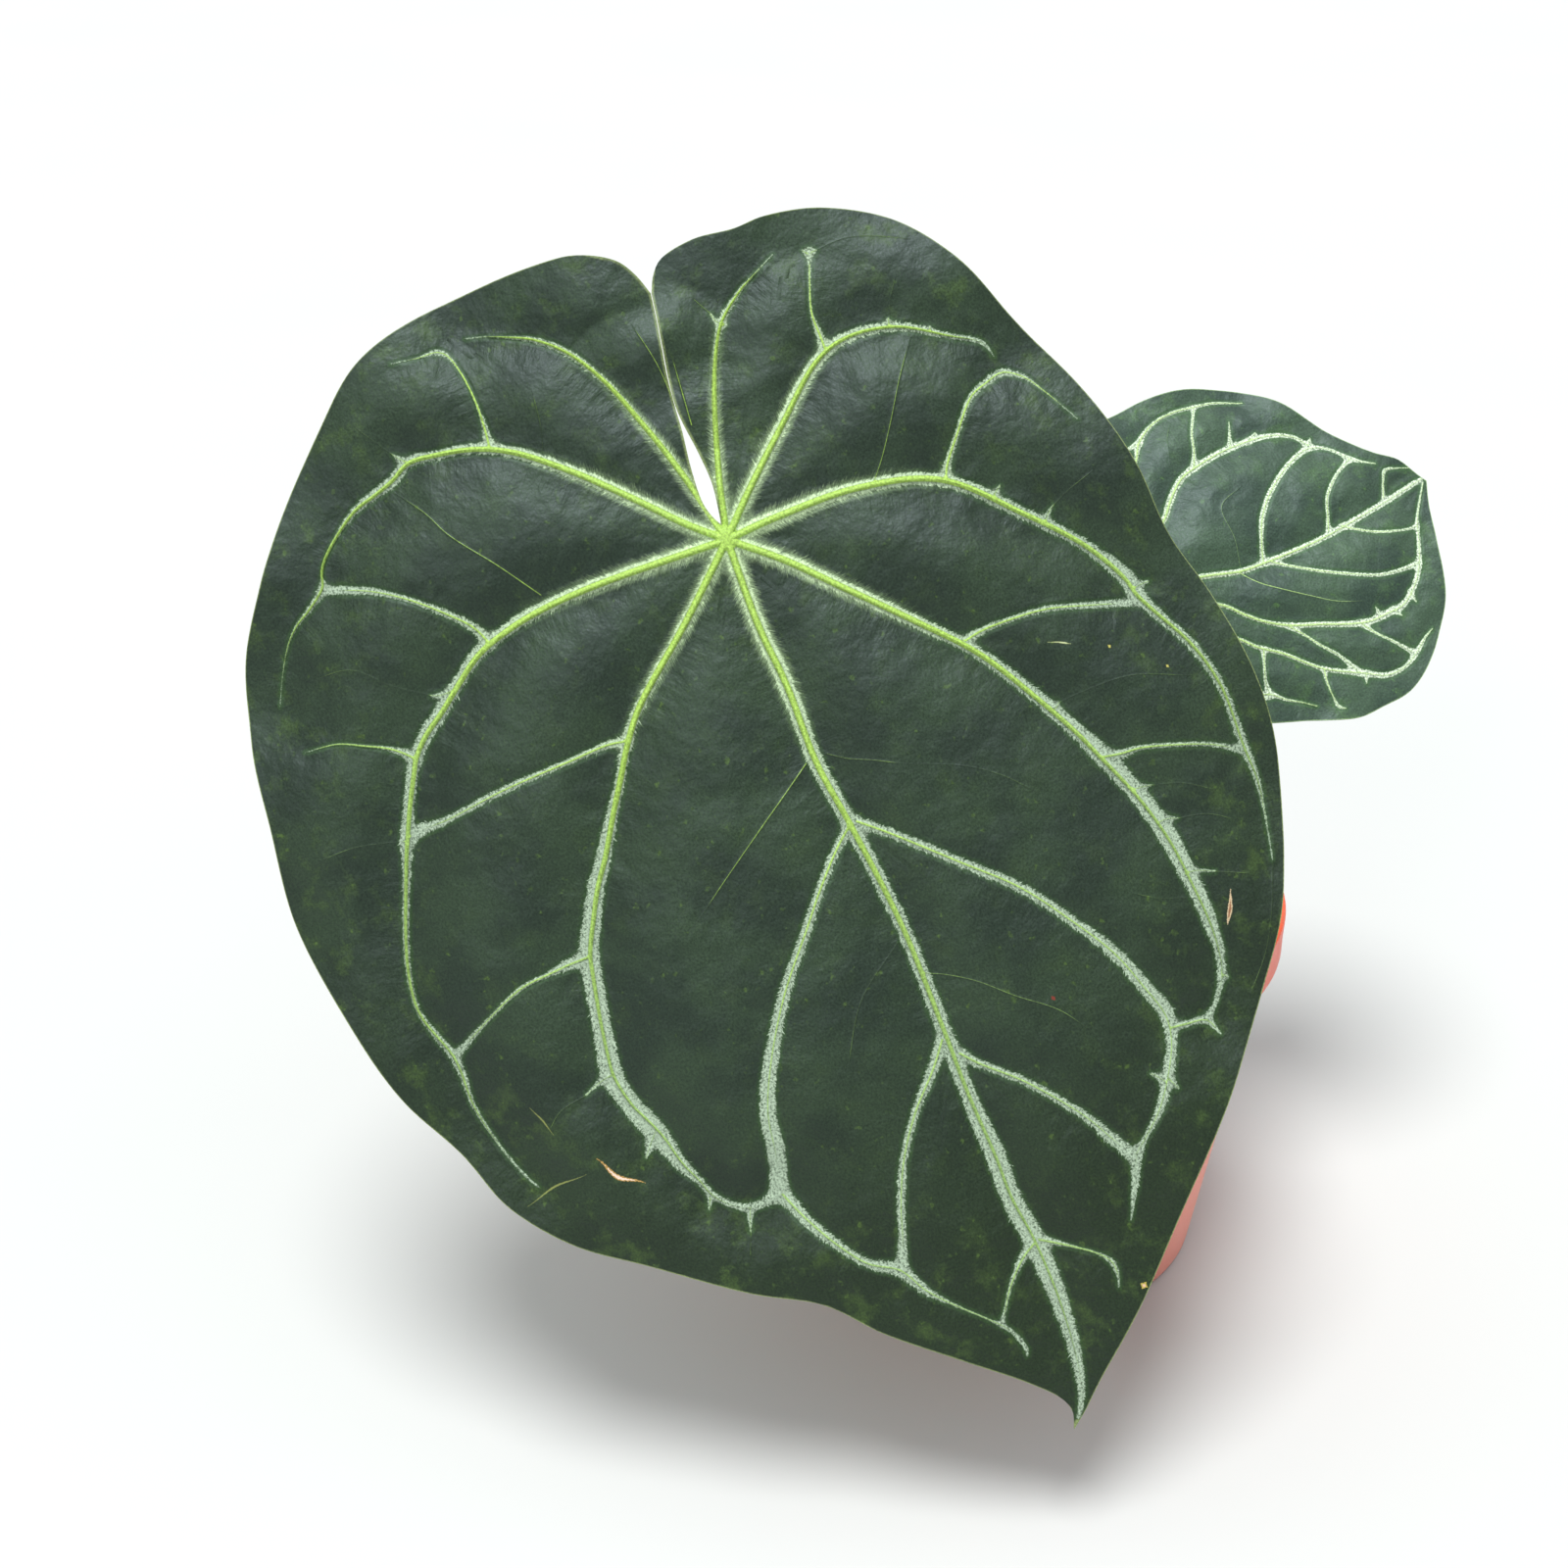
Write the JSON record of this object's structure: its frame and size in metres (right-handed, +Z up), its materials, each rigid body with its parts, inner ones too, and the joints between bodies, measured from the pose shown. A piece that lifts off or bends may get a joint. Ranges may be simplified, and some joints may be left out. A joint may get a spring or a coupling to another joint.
{
  "type": "potted anthurium magnificum",
  "caption": "Velvet-leaved aroid in a tapered nursery pot: a very large heart-shaped leaf with raised ribs on an arched stalk, a smaller leaf behind it, and a rooted crown in bark mix.",
  "frame": {"origin": "centre of the pot's flat underside, on the surface that the pot stands on", "axes": "+Z up, -Y towards someone who faces the upper side of the large leaf, +X to that person's right"},
  "size_m": [0.4066, 0.2759, 0.3784],
  "materials": {
    "pot": "satin",
    "mix": "matte",
    "crown": "matte",
    "dry_sheath": "matte",
    "petiole": "satin",
    "large_blade": "satin",
    "small_blade": "satin"
  },
  "bodies": {
    "root": {"pot": "pot", "potting_mix": "mix", "crown": "crown", "cataphyll_1": "dry_sheath", "cataphyll_2": "dry_sheath", "cataphyll_3": "dry_sheath", "large_petiole": "petiole", "small_petiole": "petiole", "large_blade": "large_blade", "small_blade": "small_blade"}
  },
  "joints": []
}
